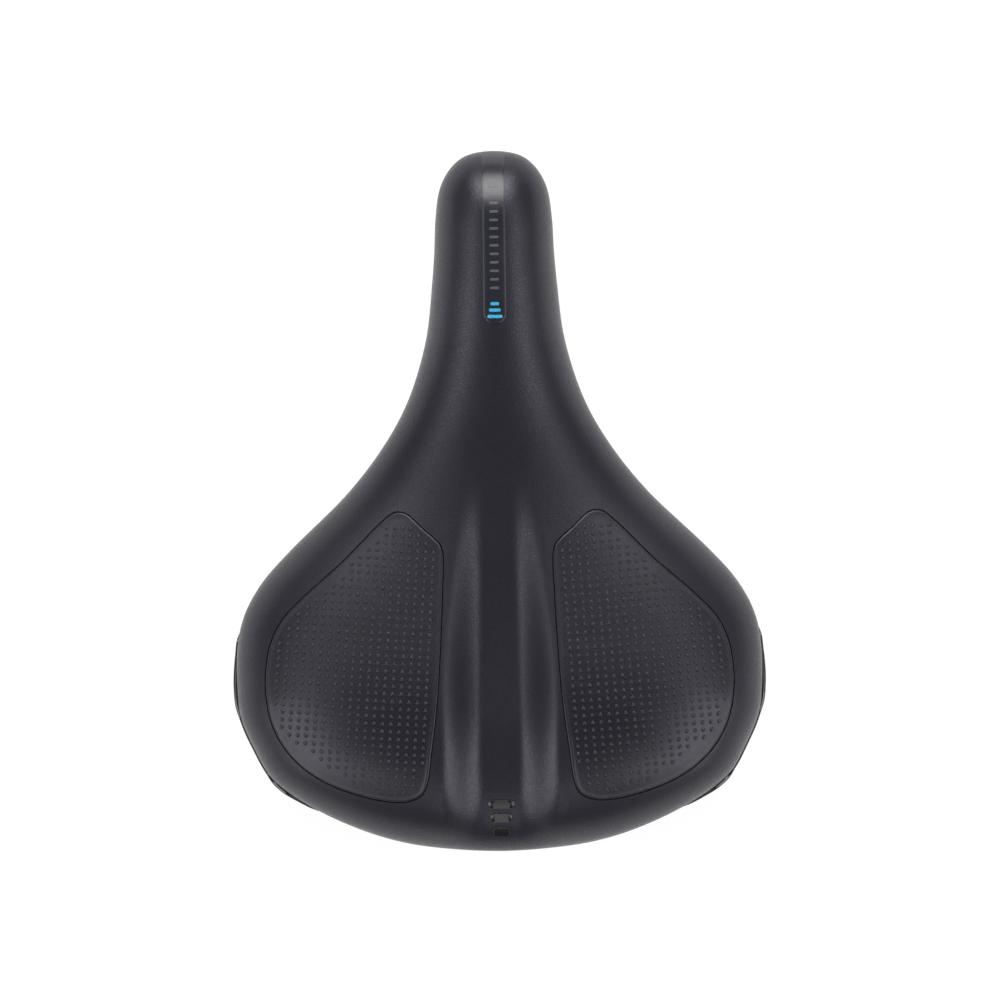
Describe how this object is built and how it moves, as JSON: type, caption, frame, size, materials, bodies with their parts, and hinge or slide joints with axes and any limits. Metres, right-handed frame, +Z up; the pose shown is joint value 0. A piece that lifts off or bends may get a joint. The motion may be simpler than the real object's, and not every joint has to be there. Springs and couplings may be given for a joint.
{
  "type": "bicycle saddle",
  "caption": "Wide padded bicycle saddle with a centre channel, dotted grip panels, steel rails and elastomer springs under the rear.",
  "frame": {"origin": "midway between the two rails at rail-centre height, in the middle of the stretch that a seatpost clamps", "axes": "+Y to the nose, +X to the rider's right, +Z up"},
  "size_m": [0.2016, 0.265, 0.0749],
  "materials": {
    "skin": "satin synthetic leather with a fine grain",
    "grip_skin": "satin moulded skin with raised dots",
    "guard_plastic": "gloss",
    "moulded_base": "fine moulded texture",
    "foam": "open foam",
    "gel": "soft gel",
    "rubber": "matt",
    "bright_steel": "drawn bar and zinc plate",
    "black_steel": "black powder coat"
  },
  "bodies": {
    "rail_frame": {"rails": "bright_steel", "rear_bridge": "black_steel", "left_lower_cup": "bright_steel", "right_lower_cup": "bright_steel", "left_elastomer": "rubber", "right_elastomer": "rubber"},
    "seat_top": {"base_shell": "moulded_base", "foam_core": "foam", "cover": "skin", "nose_bush": "rubber", "nose_clamp": "black_steel", "left_grip_panel": "grip_skin", "left_gel_pad": "gel", "left_scuff_guard": "guard_plastic", "left_upper_cup": "bright_steel", "left_guide_bolt": "bright_steel", "left_bolt_washer": "bright_steel", "left_insert": "bright_steel", "left_nose_screw": "bright_steel", "right_grip_panel": "grip_skin", "right_gel_pad": "gel", "right_scuff_guard": "guard_plastic", "right_upper_cup": "bright_steel", "right_guide_bolt": "bright_steel", "right_bolt_washer": "bright_steel", "right_insert": "bright_steel", "right_nose_screw": "bright_steel"}
  },
  "joints": [
    {"name": "nose_pivot", "type": "hinge", "parent": "rail_frame", "child": "seat_top", "pos_m": [0, 0.114, 0.0272], "axis": [1, 0, 0], "range_deg": [0, 2], "stiffness_Nm_per_rad": 2600, "springref_deg": -0.11, "deforming": ["left_elastomer", "right_elastomer"]}
  ]
}
